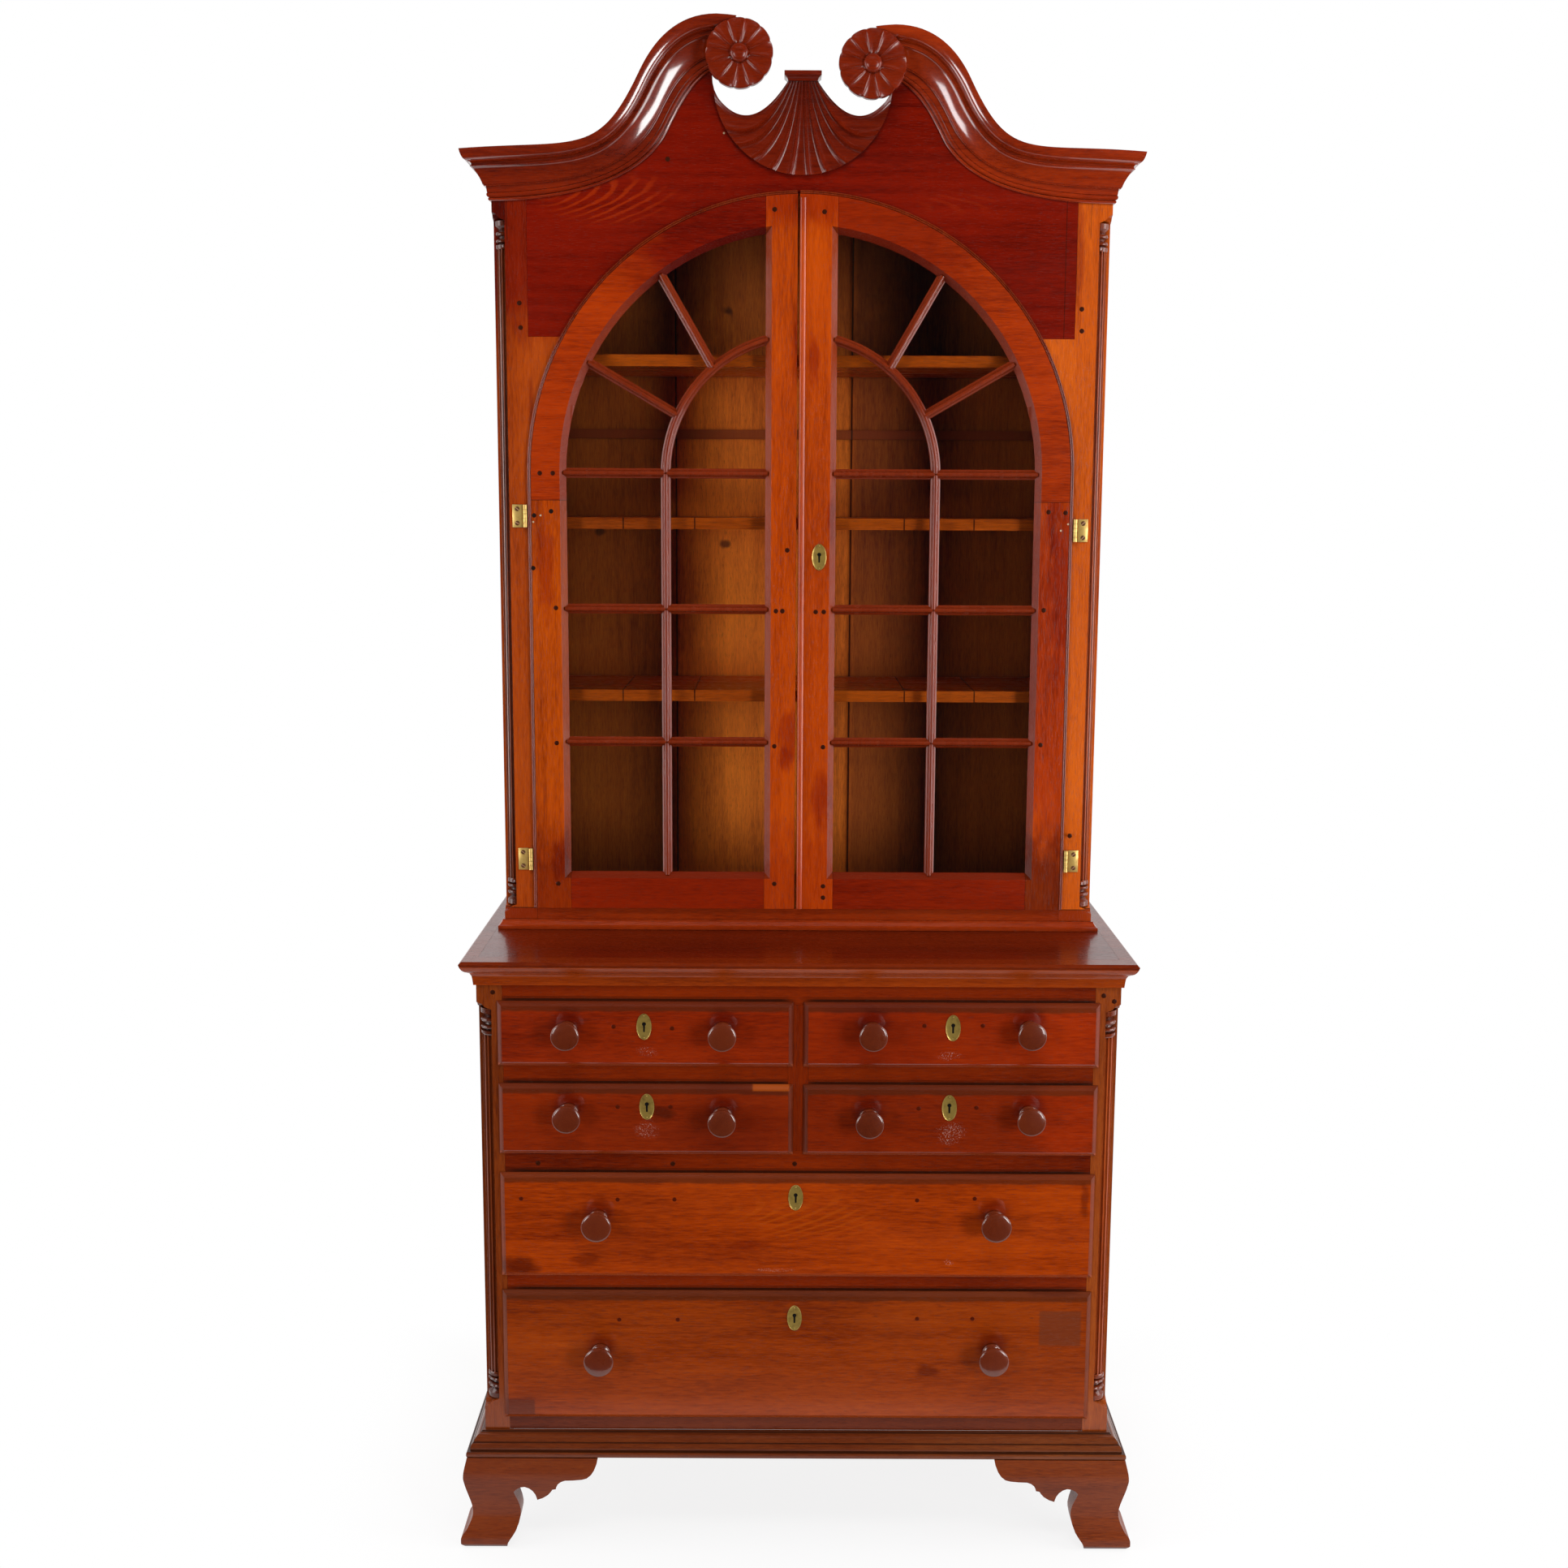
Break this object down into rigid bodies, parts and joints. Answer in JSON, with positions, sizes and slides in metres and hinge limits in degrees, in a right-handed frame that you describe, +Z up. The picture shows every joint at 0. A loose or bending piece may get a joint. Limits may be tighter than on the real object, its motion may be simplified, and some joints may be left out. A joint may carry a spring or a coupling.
{
  "type": "bookcase on chest",
  "caption": "Tall wooden bookcase on a chest of drawers, with arched glazed doors, swan-neck pediment, carved rosettes and shell, turned knobs and ogee bracket feet.",
  "frame": {"origin": "on the floor, under the middle of the overall box", "axes": "+Z up, -Y towards the person who opens the doors and drawers, +X to that person's right"},
  "size_m": [1.0584, 0.541, 2.3576],
  "materials": {
    "case_wood": "polished reddish brown hardwood with an old glossy finish",
    "pine": "dry, darkened softwood, unpolished",
    "brass": "aged polished brass",
    "glass": "old clear sheet glass"
  },
  "bodies": {
    "carcass": {"chest_side_left": "case_wood", "chest_side_right": "case_wood", "chest_bottom": "case_wood", "chest_back": "pine", "chest_top": "case_wood", "chest_top_moulding": "case_wood", "chest_stile_left": "case_wood", "chest_stile_right": "case_wood", "chest_column_left": "case_wood", "chest_column_right": "case_wood", "chest_rail_top": "case_wood", "chest_rail_upper": "case_wood", "chest_rail_middle": "case_wood", "chest_rail_lower": "case_wood", "chest_divider": "case_wood", "base_moulding": "case_wood", "front_foot_left": "case_wood", "front_foot_right": "case_wood", "rear_foot_left": "case_wood", "rear_foot_right": "case_wood", "bookcase_base": "case_wood", "bookcase_side_left": "case_wood", "bookcase_side_right": "case_wood", "bookcase_stile_left": "case_wood", "bookcase_stile_right": "case_wood", "bookcase_column_left": "case_wood", "bookcase_column_right": "case_wood", "bookcase_back": "pine", "bookcase_top": "pine", "shelf_lower": "case_wood", "shelf_middle": "case_wood", "shelf_upper": "case_wood", "tympanum": "case_wood", "cornice_left": "case_wood", "cornice_right": "case_wood", "rosette_left": "case_wood", "rosette_right": "case_wood", "shell": "case_wood", "upper_hinge_left": "brass", "upper_hinge_right": "brass", "lower_hinge_left": "brass", "lower_hinge_right": "brass"},
    "door_left": {"door_frame_left": "case_wood", "glazing_bars_left": "case_wood", "door_glass_left": "glass"},
    "door_right": {"door_frame_right": "case_wood", "glazing_bars_right": "case_wood", "door_glass_right": "glass"},
    "top_drawer_left": {"top_drawer_left_front": "case_wood", "top_drawer_left_box": "pine"},
    "top_drawer_right": {"top_drawer_right_front": "case_wood", "top_drawer_right_box": "pine"},
    "second_drawer_left": {"second_drawer_left_front": "case_wood", "second_drawer_left_box": "pine"},
    "second_drawer_right": {"second_drawer_right_front": "case_wood", "second_drawer_right_box": "pine"},
    "third_drawer": {"third_drawer_front": "case_wood", "third_drawer_box": "pine"},
    "bottom_drawer": {"bottom_drawer_front": "case_wood", "bottom_drawer_box": "pine"}
  },
  "joints": [
    {"name": "door_left_hinge", "type": "hinge", "parent": "carcass", "child": "door_left", "pos_m": [-0.4334, -0.024, 1.3483], "axis": [0, 0, -1], "range_deg": [0, 170]},
    {"name": "door_right_hinge", "type": "hinge", "parent": "carcass", "child": "door_right", "pos_m": [0.4334, -0.024, 1.3483], "axis": [0, 0, 1], "range_deg": [0, 170]},
    {"name": "top_drawer_left_slide", "type": "slide", "parent": "carcass", "child": "top_drawer_left", "axis": [0, -1, 0], "range_m": [0, 0.36]},
    {"name": "top_drawer_right_slide", "type": "slide", "parent": "carcass", "child": "top_drawer_right", "axis": [0, -1, 0], "range_m": [0, 0.36]},
    {"name": "second_drawer_left_slide", "type": "slide", "parent": "carcass", "child": "second_drawer_left", "axis": [0, -1, 0], "range_m": [0, 0.36]},
    {"name": "second_drawer_right_slide", "type": "slide", "parent": "carcass", "child": "second_drawer_right", "axis": [0, -1, 0], "range_m": [0, 0.36]},
    {"name": "third_drawer_slide", "type": "slide", "parent": "carcass", "child": "third_drawer", "axis": [0, -1, 0], "range_m": [0, 0.36]},
    {"name": "bottom_drawer_slide", "type": "slide", "parent": "carcass", "child": "bottom_drawer", "axis": [0, -1, 0], "range_m": [0, 0.36]}
  ]
}
